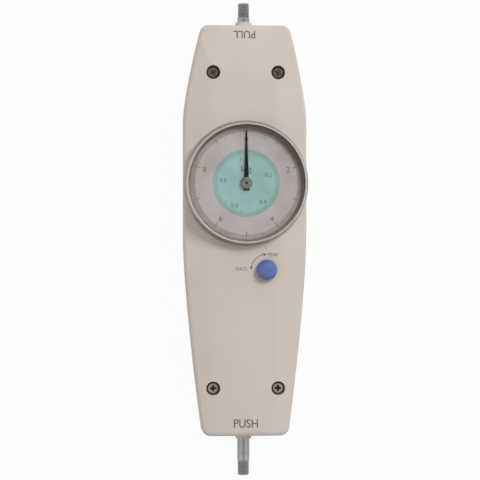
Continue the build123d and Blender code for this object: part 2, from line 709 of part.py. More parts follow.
def knob_spindle():
    """Spindle with the cam for the peak lever at its foot."""
    z = Z_DRUM
    body = disc(SPINDLE_R, z - 0.4, Z_FACE + 4.4, KNOB_X, KNOB_Y)
    body += disc(CAM_R, z, z + GEAR_T, KNOB_X - CAM_OFF, KNOB_Y + CAM_OFF)
    groove = disc(SPINDLE_R + 1, z + GEAR_T + 0.1, z + GEAR_T + 0.6, KNOB_X, KNOB_Y)
    return body - (groove - hole(SPINDLE_R - 0.5, KNOB_X, KNOB_Y))


def knob_clip():
    """Open spring clip under the bush."""
    z = Z_DRUM + GEAR_T + 0.12
    body = disc(KNOB_BUSH_R - 0.1, z, z + 0.46, KNOB_X, KNOB_Y) - hole(SPINDLE_R - 0.5, KNOB_X, KNOB_Y)
    return body - block(KNOB_X - 1.2, KNOB_X + 1.2, KNOB_Y - 5, KNOB_Y, z - 1, z + 1)


def knob_bush():
    """Bush in the cover for the spindle."""
    low = Z_DRUM + GEAR_T + 0.7
    body = disc(KNOB_BUSH_R, low, Z_FACE + 0.1, KNOB_X, KNOB_Y)
    return body - hole(SPINDLE_R + RUNNING, KNOB_X, KNOB_Y)


def lever_arm(x0, y0, x1, y1, w):
    """Flat link with round ends."""
    a = atan2(y1 - y0, x1 - x0)
    length = sqrt((x1 - x0) ** 2 + (y1 - y0) ** 2)
    link = Pos((x0 + x1) / 2, (y0 + y1) / 2, Z_DRUM) * Rot(0, 0, a * 180 / pi) * extrude(
        Rectangle(length, 2 * w), GEAR_T)
    return link + disc(w, Z_DRUM, Z_DRUM + GEAR_T, x0, y0) + disc(w, Z_DRUM, Z_DRUM + GEAR_T, x1, y1)


PAD_X = DRUM_R + PAD_GAP


def peak_lever():
    """Lever on a stud: one arm follows the knob's cam, the other carries the brake pad."""
    touch = KNOB_X + CAM_R - CAM_OFF + 0.1
    low = lever_arm(STUD_X, STUD_Y, touch + 1.2, KNOB_Y, 1.2)
    high = lever_arm(STUD_X, STUD_Y, PAD_X + 3.0, DIAL_Y, 1.2)
    hub = disc(2.2, Z_DRUM, Z_DRUM + GEAR_T, STUD_X, STUD_Y)
    body = low + high + hub - hole(1.0 + RUNNING, STUD_X, STUD_Y)
    seat = block(0, PAD_X + 2.0, DIAL_Y - 3, DIAL_Y + 3, Z_DRUM - 1, Z_TOP)
    return body - seat


def brake_pad():
    """Cork pad with a hollow face, a little off the drum."""
    body = block(PAD_X - 0.8, PAD_X + 2.0, DIAL_Y - 1.6, DIAL_Y + 1.6, Z_DRUM, Z_DRUM + GEAR_T)
    return body - hole(DRUM_R, PAD_GAP, DIAL_Y)


def lever_stud():
    """Shouldered stud between the movement's plates."""
    body = disc(1.0, Z_BASE + BASE_T, Z_TOP, STUD_X, STUD_Y)
    body += disc(1.8, Z_BASE + BASE_T, Z_DRUM - 0.1, STUD_X, STUD_Y)
    return body + disc(PIVOT_R, Z_BASE, Z_TOP + TOP_T, STUD_X, STUD_Y)


def main():
    save(front_casing(), "front_casing")
    save(rear_casing(), "rear_casing")
    save(casing_screws(), "casing_screws")
    save(chassis(), "chassis")
    save(chassis_screws(), "chassis_screws")
    save(bracket_screws(), "bracket_screws")
    save(bush(1), "upper_bush")
    save(bush(-1), "lower_bush")
    save(seal(1), "upper_seal")
    save(seal(-1), "lower_seal")
    save(pull_rod(), "pull_rod")
    save(push_rod(), "push_rod")
    save(carriage(), "carriage")
    save(guide_pin(), "guide_pin")
    save(rack(), "rack")
    save(rack_posts(), "rack_posts")
    save(spring_collar(), "spring_collar")
    save(overload_sleeve(), "overload_sleeve")
    save(measuring_spring(), "measuring_spring")
    save(spring_bracket(), "spring_bracket")
    save(stop_bracket(), "stop_bracket")
    save(stop_washer(), "stop_washer")
    save(movement_base_plate(), "movement_base_plate")
    save(movement_top_plate(), "movement_top_plate")
    save(chassis_pillars(), "chassis_pillars")
    save(plate_pillars(), "plate_pillars")
    save(plate_screws(), "plate_screws")
    save(transfer_arbor(), "transfer_arbor")
    save(rack_pinion(), "rack_pinion")
    save(transfer_wheel(), "transfer_wheel")
    save(centre_arbor(), "centre_arbor")
    save(centre_pinion(), "centre_pinion")
    save(brake_drum(), "brake_drum")
    save(pointer(), "pointer")
    save(pointer_hub(), "pointer_hub")
    save(bezel_ring(), "bezel_ring")
    save(bezel_snap_ring(), "bezel_snap_ring")
    save(dial_plate(), "dial_plate")
    save(dial_spacer(), "dial_spacer")
    save(lens(), "lens")
    save(knob_cap(), "knob_cap")
    save(knob_spindle(), "knob_spindle")
    save(knob_clip(), "knob_clip")
    save(knob_bush(), "knob_bush")
    save(peak_lever(), "peak_lever")
    save(brake_pad(), "brake_pad")
    save(lever_stud(), "lever_stud")


main()
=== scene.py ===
"""Dial force gauge: finishes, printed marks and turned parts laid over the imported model.

The frame is the model's own: metres, rear face on z = 0, dial towards +Z, pull end towards +Y.
Lengths below are written in millimetres and turned into metres where a mesh is made.
"""

import math

import bmesh
import bpy
import numpy as np
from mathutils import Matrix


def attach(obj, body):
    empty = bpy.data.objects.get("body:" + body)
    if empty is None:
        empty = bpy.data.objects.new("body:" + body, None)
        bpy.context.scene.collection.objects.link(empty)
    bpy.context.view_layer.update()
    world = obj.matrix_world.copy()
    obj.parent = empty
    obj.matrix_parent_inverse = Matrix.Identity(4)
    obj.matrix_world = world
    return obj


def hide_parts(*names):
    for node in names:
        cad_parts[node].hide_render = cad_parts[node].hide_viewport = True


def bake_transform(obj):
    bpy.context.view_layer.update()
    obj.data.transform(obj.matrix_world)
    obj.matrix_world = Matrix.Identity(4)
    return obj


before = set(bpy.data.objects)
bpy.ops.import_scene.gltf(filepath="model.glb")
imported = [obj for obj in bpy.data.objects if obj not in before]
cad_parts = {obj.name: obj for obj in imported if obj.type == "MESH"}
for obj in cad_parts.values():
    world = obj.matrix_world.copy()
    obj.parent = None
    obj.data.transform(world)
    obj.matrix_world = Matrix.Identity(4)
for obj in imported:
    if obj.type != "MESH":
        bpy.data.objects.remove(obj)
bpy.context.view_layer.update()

MM = 0.001
Z_ROD = 26.0
Z_FACE = 42.5
DIAL_Y = 22.5
Z_DIAL = 44.9             # printed face of the dial
Z_PRINT = Z_DIAL + 0.01   # where numbers start on it
Z_LENS = 47.4             # under side of the lens
Z_RIM = 50.0
BEZEL_R = 30.0
RIM_R = 28.7
DIAL_R = 27.9
SPIGOT_R = 26.6
KNOB = (10.0, -19.0)
ROD_R = 2.9
PULL_TIP, PUSH_TIP = 110.6, -119.1
SCREWS = [(-15.6, -75.75), (-15.6, 75.75), (15.6, -75.75), (15.6, 75.75)]
FOLD_X, FOLD_R = 12.45, 20.0                    # the casing's face folds away beyond this x
FACET_Y, FACET = 75.45, math.radians(7.0)       # start and slope of the face at the pull end
FILM = 0.02                                     # height of printing over what it's printed on
SUNK = 0.01                                     # and how far it reaches below
INNER_STEP = 69.4                               # degrees from one number of the inner scale to the next


# ---- making meshes ---------------------------------------------------------------------------

def put(name, points, quads, body, slot, replaces=(), smooth=40):
    """A piece from an (n, 3) array in mm and an (m, 4) array of corners, merged and closed."""
    mesh = bpy.data.meshes.new(name)
    mesh.from_pydata((points * MM).tolist(), [], quads.tolist())
    work = bmesh.new()
    work.from_mesh(mesh)
    bmesh.ops.remove_doubles(work, verts=work.verts, dist=1e-7)
    bmesh.ops.recalc_face_normals(work, faces=work.faces)
    work.to_mesh(mesh)
    work.free()
    return place(name, mesh, body, replaces, smooth)


def place(name, mesh, body, replaces=(), smooth=40):
    """The mesh as an object at the origin, riding on its body, sharp over smooth degrees."""
    obj = bpy.data.objects.new(name, mesh)
    bpy.context.scene.collection.objects.link(obj)
    if smooth:
        mesh.shade_smooth()
        mesh.set_sharp_from_angle(angle=math.radians(smooth))
    if body:
        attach(obj, body)
    if replaces:
        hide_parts(*replaces)
    return obj


def grid_quads(rows, cols, start=0):
    """Corners of the cells of a grid whose columns run round and close on themselves."""
    i, j = np.meshgrid(np.arange(rows - 1), np.arange(cols), indexing="ij")
    k = (j + 1) % cols
    cells = np.stack([i * cols + j, i * cols + k, (i + 1) * cols + k, (i + 1) * cols + j], axis=-1)
    return cells.reshape(-1, 4) + start


def rounded(corners, steps=4):
    """A profile with arcs at its corners.

    Each corner is (a, b, radius). The arc is a quadratic curve from the point one radius before
    the corner to the point one radius after it, p(t) = (1-t)^2 p0 + 2t(1-t) corner + t^2 p1.
    """
    line = []
    for k, (a, b, r) in enumerate(corners):
        here = np.array([a, b], float)
        if r == 0 or k in (0, len(corners) - 1):
            line.append(here[None])
            continue
        before = np.array(corners[k - 1][:2], float) - here
        after = np.array(corners[k + 1][:2], float) - here
        p0 = here + before / np.linalg.norm(before) * r
        p1 = here + after / np.linalg.norm(after) * r
        t = np.linspace(0, 1, steps + 1)[:, None]
        line.append((1 - t) ** 2 * p0 + 2 * t * (1 - t) * here + t ** 2 * p1)
    return np.concatenate(line)


def turned_up(profile, centre, sides=256):
    """A profile of (radius, height) carried round an upright axis.

    x = cx + r cos a, y = cy + r sin a, z = h, a from 0 to 2 pi.
    """
    a = np.linspace(0, 2 * np.pi, sides, endpoint=False)
    r, h = profile[:, :1], profile[:, 1:]
    x = centre[0] + r * np.cos(a)
    y = centre[1] + r * np.sin(a)
    z = h + 0 * a
    return np.stack([x, y, z], axis=-1).reshape(-1, 3), grid_quads(len(profile), sides)


def upright_box_grid(boxes):
    """Thin printed bars: rows of (cx, cy, half length, half width, angle, z0, z1) as closed boxes.

    Corner = centre + u (cos angle, sin angle) + v (-sin angle, cos angle), with u plus or minus the
    half length and v plus or minus the half width.
    """
    b = np.asarray(boxes, float)
    u = np.array([-1, 1, 1, -1, -1, 1, 1, -1]) * b[:, 2:3]
    v = np.array([-1, -1, 1, 1, -1, -1, 1, 1]) * b[:, 3:4]
    low = np.array([1, 1, 1, 1, 0, 0, 0, 0])
    c, s = np.cos(b[:, 4:5]), np.sin(b[:, 4:5])
    x = b[:, 0:1] + u * c - v * s
    y = b[:, 1:2] + u * s + v * c
    z = b[:, 5:6] * low + b[:, 6:7] * (1 - low)
    points = np.stack([x, y, z], axis=-1).reshape(-1, 3)
    sides = np.array([[0, 3, 2, 1], [4, 5, 6, 7], [0, 1, 5, 4], [1, 2, 6, 5], [2, 3, 7, 6], [3, 0, 4, 7]])
    quads = (np.arange(len(b))[:, None, None] * 8 + sides).reshape(-1, 4)
    return points, quads


# ---- materials -------------------------------------------------------------------------------

def colour(code):
    """An sRGB hex colour as linear red, green, blue and alpha."""
    parts = [int(code[i:i + 2], 16) / 255 for i in (1, 3, 5)]
    return tuple(c / 12.92 if c <= 0.04045 else ((c + 0.055) / 1.055) ** 2.4 for c in parts) + (1.0,)


def add(tree, kind, settings=None, **inputs):
    """A node with its own settings; inputs are values or nodes' sockets, by socket name or _number."""
    node = tree.nodes.new("ShaderNode" + kind)
    for key, value in (settings or {}).items():
        setattr(node, key, value)
    for key, value in inputs.items():
        socket = node.inputs[int(key[1:])] if key[0] == "_" else node.inputs[key.replace("_", " ")]
        if isinstance(value, bpy.types.NodeSocket):
            tree.links.new(value, socket)
        else:
            socket.default_value = value
    return node


def material(name):
    """A new material with its tree emptied down to the output."""
    made = bpy.data.materials.new(name)
    made.use_nodes = True
    tree = made.node_tree
    for node in list(tree.nodes):
        if node.type != "OUTPUT_MATERIAL":
            tree.nodes.remove(node)
    return made, tree


def show(tree, shader):
    """Links a shader to the output."""
    tree.links.new(shader, tree.nodes["Material Output"].inputs["Surface"])


def at_dial(tree, centre=(0.0, DIAL_Y)):
    """Object coordinates with an upright axis at the centre, and the distance from it in metres."""
    place_at = (-centre[0] * MM, -centre[1] * MM, 0)
    vector = add(tree, "Mapping", Vector=add(tree, "TexCoord").outputs["Object"], Location=place_at)
    xyz = add(tree, "SeparateXYZ", _0=vector.outputs[0])
    flat = add(tree, "CombineXYZ", _0=xyz.outputs[0], _1=xyz.outputs[1])
    radius = add(tree, "VectorMath", {"operation": "LENGTH"}, _0=flat.outputs[0])
    return vector.outputs[0], radius.outputs["Value"], xyz.outputs[2]


def two_tones(tree, factor, low, high, ends=(0.35, 0.65)):
    """A ramp between two hex colours over part of a pattern's range."""
    ramp = add(tree, "ValToRGB", Fac=factor)
    for stop, at, code in zip(ramp.color_ramp.elements, ends, (low, high)):
        stop.position = at
        stop.color = colour(code)
    return ramp.outputs[0]


def between(tree, factor, low, high):
    """A colour part of the way from low to high, each a socket or a hex colour."""
    low, high = (colour(end) if isinstance(end, str) else end for end in (low, high))
    return add(tree, "Mix", {"data_type": "RGBA"}, _0=factor, _6=low, _7=high).outputs[2]


def baked_enamel():
    """Die-cast shell in baked enamel: soft sheen, orange peel of 0.9 mm, faint cloudiness over 30 mm."""
    made, tree = material("baked_enamel_beige")
    where = add(tree, "TexCoord").outputs["Object"]
    cloud = add(tree, "TexNoise", Vector=where, Scale=1 / 0.030, Detail=3.0)
    peel = add(tree, "TexNoise", Vector=where, Scale=1 / 0.0009, Detail=1.0)
    sheen = add(tree, "TexNoise", Vector=where, Scale=1 / 0.012, Detail=4.0)
    rough = add(tree, "MapRange", Value=sheen.outputs["Fac"], _3=0.36, _4=0.50)
    bump = add(tree, "Bump", Height=peel.outputs["Fac"], Strength=0.35, Distance=0.00003)
    base = two_tones(tree, cloud.outputs["Fac"], "#CBC0B7", "#CFC5BC")
    shader = add(tree, "BsdfPrincipled", Base_Color=base, Roughness=rough.outputs[0], IOR=1.5,
                 Normal=bump.outputs[0])
    show(tree, shader.outputs[0])
    return made


def turned_nickel(name, code, worn, roughness, rim_highlight=None, above=0.0):
    """Turned on a lathe and satin nickel plated: fine rings 0.12 mm apart, smears from handling.

    Above the given height in mm the metal is painted a lighter colour: a painted highlight along the flat
    rim.
    """
    made, tree = material(name)
    vector, radius, height = at_dial(tree)
    rings = add(tree, "CombineXYZ", _0=radius, _1=height)
    lines = add(tree, "TexNoise", Vector=rings.outputs[0], Scale=1 / 0.00012, Detail=2.0)
    smear = add(tree, "TexNoise", Vector=vector, Scale=1 / 0.009, Detail=4.0)
    rough = add(tree, "MapRange", Value=smear.outputs["Fac"], _3=roughness - 0.06, _4=roughness + 0.08)
    bump = add(tree, "Bump", Height=lines.outputs["Fac"], Strength=0.25, Distance=0.00002)
    base = two_tones(tree, smear.outputs["Fac"], code, worn)
    # painted highlight: the flat rim above the given height is lighter
    if rim_highlight:
        highlight_band = add(tree, "MapRange", Value=height, _1=(above - 0.05) * MM, _2=(above + 0.05) * MM)
        base = between(tree, highlight_band.outputs[0], base, rim_highlight)
    shader = add(tree, "BsdfPrincipled", Base_Color=base, Metallic=1.0, Roughness=rough.outputs[0],
                 Normal=bump.outputs[0])
    show(tree, shader.outputs[0])
    return made


def recessed_screw():
    """Black-nickel plated screw with painted shade: dark in the recess and down its sides, painted shade
    with some oxide, lighter on the top face.

    The pair at the push end has a near black recess. The pair at the pull end is painted darker as shade,
    and its recess less dark, so the cross hardly shows.
    """
    made, tree = material("black_nickel_painted_shade")
    where = add(tree, "TexCoord").outputs["Object"]
    split = add(tree, "SeparateXYZ", _0=where)
    scuffs = add(tree, "TexNoise", Vector=where, Scale=1 / 0.0007, Detail=4.0)
    # painted shade: below the head's top face, in the recess and down the sides, the colour turns dark
    top = add(tree, "MapRange", Value=split.outputs[2], _1=39.95 * MM, _2=40.45 * MM)
    # painted shade: the pair at the pull end (y > 0) is painted darker, with a less dark recess
    pull_pair = add(tree, "MapRange", Value=split.outputs[1], _1=-0.01, _2=0.01)
    push_pair_tone = two_tones(tree, scuffs.outputs["Fac"], "#A0958A", "#BFB5A8")
    pull_pair_shaded = two_tones(tree, scuffs.outputs["Fac"], "#6E645B", "#8A8076")
    face_tone = between(tree, pull_pair.outputs[0], push_pair_tone, pull_pair_shaded)
    recess = between(tree, pull_pair.outputs[0], "#352E29", "#665D54")
    base = between(tree, top.outputs[0], recess, face_tone)
    rough = add(tree, "MapRange", Value=scuffs.outputs["Fac"], _3=0.30, _4=0.46)
    shader = add(tree, "BsdfPrincipled", Base_Color=base, Metallic=1.0, Roughness=rough.outputs[0])
    show(tree, shader.outputs[0])
    return made


def ground_stainless():
    """Stainless rod ground between centres: rings 0.15 mm apart, in brighter and duller bands."""
    made, tree = material("ground_stainless")
    where = add(tree, "TexCoord").outputs["Object"]
    along = add(tree, "Mapping", Vector=where, Scale=(0.05, 1.0, 0.05))
    lines = add(tree, "TexNoise", Vector=along.outputs[0], Scale=1 / 0.00015, Detail=2.0)
    bands = add(tree, "TexNoise", Vector=along.outputs[0], Scale=1 / 0.0022, Detail=3.0)
    rough = add(tree, "MapRange", Value=bands.outputs["Fac"], _3=0.36, _4=0.44)
    bump = add(tree, "Bump", Height=lines.outputs["Fac"], Strength=0.10, Distance=0.000005)
    base = two_tones(tree, bands.outputs["Fac"], "#A2A1A0", "#ADACAA")
    shader = add(tree, "BsdfPrincipled", Base_Color=base, Metallic=1.0, Roughness=rough.outputs[0],
                 Normal=bump.outputs[0])
    show(tree, shader.outputs[0])
    return made


def plated_steel(name, low, high, roughness, patch):
    """Plated steel: metal whose passivation varies in patches, with a fine grain in the plating."""
    made, tree = material(name)
    where = add(tree, "TexCoord").outputs["Object"]
    patches = add(tree, "TexNoise", Vector=where, Scale=1 / (patch * MM), Detail=4.0)
    grain = add(tree, "TexNoise", Vector=where, Scale=1 / 0.0002, Detail=1.0)
    rough = add(tree, "MapRange", Value=patches.outputs["Fac"], _3=roughness - 0.07, _4=roughness + 0.09)
    bump = add(tree, "Bump", Height=grain.outputs["Fac"], Strength=0.25, Distance=0.00002)
    base = two_tones(tree, patches.outputs["Fac"], low, high)
    shader = add(tree, "BsdfPrincipled", Base_Color=base, Metallic=1.0, Roughness=rough.outputs[0],
                 Normal=bump.outputs[0])
    show(tree, shader.outputs[0])
    return made


def cast_acrylic():
    """Polished clear acrylic: shows the dial sharply, with a faint warm tint and a few worn streaks.

    Shadow rays pass straight through it, so lamps light the dial behind.
    """
    made, tree = material("cast_acrylic_clear")
    where = add(tree, "TexCoord").outputs["Object"]
    streak = add(tree, "Mapping", Vector=where, Scale=(1.0, 0.06, 1.0), Rotation=(0, 0, 0.5))
    wear = add(tree, "TexNoise", Vector=streak.outputs[0], Scale=1 / 0.0015, Detail=3.0)
    rough = add(tree, "MapRange", Value=wear.outputs["Fac"], _1=0.45, _2=0.9, _3=0.0, _4=0.02)
    glass = add(tree, "BsdfPrincipled", Base_Color=colour("#F6F6F2"), Roughness=rough.outputs[0], IOR=1.49,
                Transmission_Weight=1.0, Specular_IOR_Level=0.12)
    clear = add(tree, "BsdfTransparent", Color=colour("#F4F4F0"))
    shadow = add(tree, "LightPath").outputs["Is Shadow Ray"]
    show(tree, add(tree, "MixShader", _0=shadow, _1=glass.outputs[0], _2=clear.outputs[0]).outputs[0])
    return made


def printed_dial():
    """Aluminium disc, screen printed: pale grey, a darker graduated band outside, a green disc inside."""
    made, tree = material("printed_dial")
    vector, radius, _ = at_dial(tree)
    share = add(tree, "MapRange", Value=radius, _1=0.0, _2=DIAL_R * MM).outputs[0]
    zones = add(tree, "ValToRGB", Fac=share)
    ramp = zones.color_ramp
    ramp.interpolation = "CONSTANT"
    bands = [(0.0, "#8AAFB4"), (13.8 / DIAL_R, "#85A1A3"), (16.0 / DIAL_R, "#ABA4AA"),
             (24.2 / DIAL_R, "#959092")]
    while len(ramp.elements) < len(bands):
        ramp.elements.new(0.5)
    for stop, (at, code) in zip(ramp.elements, bands):
        stop.position = at
        stop.color = colour(code)
    fleck = add(tree, "TexNoise", Vector=vector, Scale=1 / 0.0004, Detail=2.0)
    cloud = add(tree, "TexNoise", Vector=vector, Scale=1 / 0.011, Detail=2.0)
    tint = two_tones(tree, cloud.outputs["Fac"], "#F1EEEA", "#FFFFFF")
    base = add(tree, "Mix", {"data_type": "RGBA", "blend_type": "MULTIPLY"},
               _0=1.0, _6=zones.outputs[0], _7=tint)
    bump = add(tree, "Bump", Height=fleck.outputs["Fac"], Strength=0.15, Distance=0.00002)
    shader = add(tree, "BsdfPrincipled", Base_Color=base.outputs[2], Roughness=0.55, IOR=1.5,
                 Normal=bump.outputs[0])
    show(tree, shader.outputs[0])
    return made


def moulded(name, low, high, roughness, grain, depth, sheen=0.5):
    """Moulded plastic or rubber, lacquer or anodising: one colour, slightly cloudy, with a fine grain.

    Grain and depth are the grain's width and depth in mm. A low sheen is for a lacquer that is nearly dead
    flat and keeps its black.
    """
    made, tree = material(name)
    where = add(tree, "TexCoord").outputs["Object"]
    flow = add(tree, "TexNoise", Vector=where, Scale=1 / 0.006, Detail=2.0)
    pits = add(tree, "TexNoise", Vector=where, Scale=1 / (grain * MM), Detail=2.0)
    rough = add(tree, "MapRange", Value=flow.outputs["Fac"], _3=roughness - 0.05, _4=roughness + 0.06)
    bump = add(tree, "Bump", Height=pits.outputs["Fac"], Strength=0.3, Distance=depth * MM)
    shader = add(tree, "BsdfPrincipled", Base_Color=two_tones(tree, flow.outputs["Fac"], low, high),
                 Roughness=rough.outputs[0], IOR=1.5, Specular_IOR_Level=sheen, Normal=bump.outputs[0])
    show(tree, shader.outputs[0])
    return made


def pressed_fibre(name, low, high, fibre):
    """Wool felt or cork: matt, two tones in clumps of the given mm, rough to the touch."""
    made, tree = material(name)
    where = add(tree, "TexCoord").outputs["Object"]
    clump = add(tree, "TexVoronoi", Vector=where, Scale=1 / (fibre * MM))
    fuzz = add(tree, "TexNoise", Vector=where, Scale=2 / (fibre * MM), Detail=4.0)
    bump = add(tree, "Bump", Height=fuzz.outputs["Fac"], Strength=0.6, Distance=0.0001)
    base = two_tones(tree, clump.outputs["Distance"], low, high, (0.1, 0.7))
    shader = add(tree, "BsdfPrincipled", Base_Color=base, Roughness=0.95, IOR=1.45, Normal=bump.outputs[0])
    show(tree, shader.outputs[0])
    return made


def printing_ink(name, low, high):
    """Pad-printed ink: thin, matt, slightly uneven where the pad lifted."""
    made, tree = material(name)
    where = add(tree, "TexCoord").outputs["Object"]
    lift = add(tree, "TexNoise", Vector=where, Scale=1 / 0.0006, Detail=3.0)
    base = two_tones(tree, lift.outputs["Fac"], low, high)
    show(tree, add(tree, "BsdfPrincipled", Base_Color=base, Roughness=0.6, IOR=1.5).outputs[0])
    return made


FINISH = {
    "casing_paint": baked_enamel(),
    # the bezel's flat rim gets a painted highlight, #E6DFD8
    "bezel_metal": turned_nickel("turned_nickel_satin", "#9A9189", "#A59C95", 0.34,
                                 rim_highlight="#E6DFD8", above=Z_RIM - 0.32),
    "screw_steel": plated_steel("black_nickel_steel", "#7D7368", "#968C80", 0.36, 1.5),
    "shaft_steel": ground_stainless(),
    "chassis_steel": plated_steel("zinc_plated_sheet", "#A9ADB0", "#C2C5C4", 0.36, 4.0),
    "movement_brass": plated_steel("lapped_brass", "#B8934C", "#CDAA62", 0.30, 5.0),
    "lens_clear": cast_acrylic(),
    "dial_print": printed_dial(),
    "spacer_dark": moulded("matt_grey_anodised", "#796F69", "#817771", 0.72, 0.3, 0.01),
    "pointer_black": moulded("matt_black_lacquer", "#09090B", "#0F0F11", 0.80, 0.3, 0.01, sheen=0.08),
    "hub_metal": turned_nickel("turned_aluminium", "#8B8A89", "#969594", 0.38),
    "knob_blue": moulded("moulded_abs_blue", "#556BA9", "#5B72AF", 0.36, 0.25, 0.015),
    "spring_steel": plated_steel("oiled_music_wire", "#5E5E60", "#77777A", 0.30, 2.0),
    "rubber_black": moulded("moulded_rubber", "#1E1E1E", "#2A2A29", 0.75, 0.2, 0.03),
    "felt_grey": pressed_fibre("pressed_wool_felt", "#6F6C68", "#8C8984", 0.5),
    "cork": pressed_fibre("cut_cork", "#8A6642", "#B68C5E", 0.8),
}
LEGEND_INK = printing_ink("legend_ink_brown", "#6C5E58", "#766862")
SCREW_TOP = recessed_screw()
SCALE_INK = printing_ink("scale_ink_grey", "#4E4A47", "#5A5552")
GREEN_INK = printing_ink("scale_ink_green", "#3F5654", "#4B6361")

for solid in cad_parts.values():
    for held in solid.material_slots:
        held.material = FINISH[held.material.name.split(".")[0]]


def finish(obj, slot_or_material):
    """Gives a new piece its finish."""
    made = FINISH[slot_or_material] if isinstance(slot_or_material, str) else slot_or_material
    obj.data.materials.append(made)
    return obj


# ---- shaft -----------------------------------------------------------------------------------

def rod(name, inner, tip, plain):
    """Round rod with a rolled thread at its tip.

    The surface is a grid of stations y and angles a. Its radius is the lesser of the tip's cone and
    r = crest - depth * (1 - w(y / pitch - a / 2 pi)), where w is a flat-topped V over one turn of the
    thread. The depth fades in over one pitch where the thread starts.
    """
    pitch, depth, threaded, fade, sides = 1.0, 0.52, 6.6, 0.9, 72
    tip_radius, plain_part = 2.25, threaded + 1.4
    way = 1.0 if tip > inner else -1.0
    thread_from = tip - way * threaded
    fine_from = tip - way * plain_part
    y = np.concatenate([np.linspace(inner, fine_from, 12),
                        np.arange(0, plain_part + 0.03, pitch / 16) * way + fine_from])[:, None]
    a = np.linspace(0, 2 * np.pi, sides, endpoint=False)[None]
    phase = np.mod((y - thread_from) * way / pitch - way * a / (2 * np.pi), 1.0)
    vee = np.clip((0.5 - np.abs(phase - 0.5)) * 2 * 1.35 - 0.18, 0, 1)
    run_in = np.clip(((y - thread_from) * way + fade) / pitch, 0, 1)
    radius = ROD_R - depth * (1 - vee) * run_in
    radius = np.minimum(radius, tip_radius + np.abs(tip - y)) + 0 * a
    x, z = radius * np.cos(a), Z_ROD + radius * np.sin(a)
    grid = np.stack([x, y + 0 * a, z], axis=-1)
    ends = [np.broadcast_to(np.array([0, end, Z_ROD]), (1, sides, 3)) for end in (inner, tip)]
    grid = np.concatenate([ends[0], grid, ends[1]])
    obj = put(name, grid.reshape(-1, 3), grid_quads(len(grid), sides), "shaft", "shaft_steel", [plain], 50)
    return finish(obj, "shaft_steel")


rod("pull_rod_threaded", 5.0, PULL_TIP, "pull_rod")
rod("push_rod_threaded", -1.0, PUSH_TIP, "push_rod")


# ---- cover screws ------------------------------------------------------------------------------

def screw_head(x, y, turn):
    """Cross-recessed pan head and shank as one grid of loops, square in the middle and round outside.

    A loop at distance h has four sides. Along a side runs v(t), t from -1 to 1: the inner columns lie
    within the arm's half width w = 0.40 - 0.07 h, the next ones on its wall, the rest go out to the corner.
    The point is (h, v), turned a quarter for each side, and s = 0 to 1 blends it into the circle
    h (cos a, sin a), a = atan2(v, h). The height is the dome's at the point's own radius, lowered in
    the arms by depth(h) * clip((w + wall - |v|) / wall, 0, 1) and all round where h < 0.45.
    """
    seat, top, shank_end, columns = 38.3, 40.7, 18.0, 24
    dome = rounded([(0, top, 0), (1.9, top, 0.6), (2.85, top - 0.55, 0.5),
                    (3.0, seat + 0.5, 0.4), (3.0, seat, 0)], 8)
    inner = np.array([0, 0.25, 0.4, 0.5, 0.6, 0.8, 1.0, 1.2, 1.4,
                      1.5, 1.52, 1.7, 1.9, 2.0, 2.1, 2.2, 2.35, 2.5])
    inner = np.stack([inner, np.full(len(inner), top)], axis=-1)
    shank = np.array([[1.5, seat], [1.5, shank_end], [0, shank_end]])
    profile = np.concatenate([inner, dome[dome[:, 0] > 2.52], shank])
    h, level = profile[:, :1], profile[:, 1:]

    t = np.linspace(-1, 1, columns, endpoint=False)[None] + 1 / columns
    w = np.minimum(0.40 - 0.07 * h, 0.72 * h)
    wall = np.minimum(0.06, 0.2 * h)
    far = np.abs(t)
    v = np.where(far < 0.3, far / 0.3 * w, np.where(far < 0.4, w + (far - 0.3) / 0.1 * wall,
                 w + wall + (far - 0.4) / 0.6 * (h - w - wall))) * np.sign(t)
    blend = np.clip((h - 1.0) / 1.5, 0, 1)
    a = np.arctan2(v, np.maximum(h, 1e-9))
    u = (1 - blend) * h + blend * h * np.cos(a)
    v_round = (1 - blend) * v + blend * h * np.sin(a)

    depth = np.interp(h, [0, 0.45, 0.6, 1.4, 1.52], [1.5, 1.4, 1.15, 0.8, 0])
    arm = np.clip((w + wall - np.abs(v)) / np.maximum(wall, 1e-6), 0, 1)
    domed = np.interp(np.hypot(u, v_round), dome[:, 0], dome[:, 1])
    lowered = domed - depth * np.maximum(arm, h < 0.45)
    z = np.where(np.arange(len(profile))[:, None] < len(inner), lowered, level)

    turns = [turn + k * np.pi / 2 for k in range(4)]
    px = np.concatenate([u * np.cos(c) - v_round * np.sin(c) for c in turns], axis=1)
    py = np.concatenate([u * np.sin(c) + v_round * np.cos(c) for c in turns], axis=1)
    grid = np.stack([x + px, y + py, np.tile(z, 4)], axis=-1)
    return grid.reshape(-1, 3), grid_quads(len(profile), 4 * columns)


def joined(parts):
    """Points and quads of several equal grids as one."""
    count = len(parts[0][0])
    return (np.concatenate([points for points, _ in parts]),
            np.concatenate([quads + k * count for k, (_, quads) in enumerate(parts)]))


def cover_screws():
    """The four screws, each left at its own turn by whoever drove it."""
    turns = (0.06, 0.7, -0.04, 1.1)
    points, quads = joined([screw_head(x, y, turn) for (x, y), turn in zip(SCREWS, turns)])
    obj = put("cover_screws", points, quads, "casing", "screw_steel", ["casing_screws"], 35)
    return finish(obj, SCREW_TOP)


cover_screws()


# ---- bezel, lens, dial -------------------------------------------------------------------------

def ring(name, corners, body, slot, replaces, centre=(0, DIAL_Y), sides=256, steps=4):
    """Closed turned piece from profile corners (radius, height, rounding)."""
    points, quads = turned_up(rounded(corners, steps), centre, sides)
    return finish(put(name, points, quads, body, slot, replaces, 35), slot)


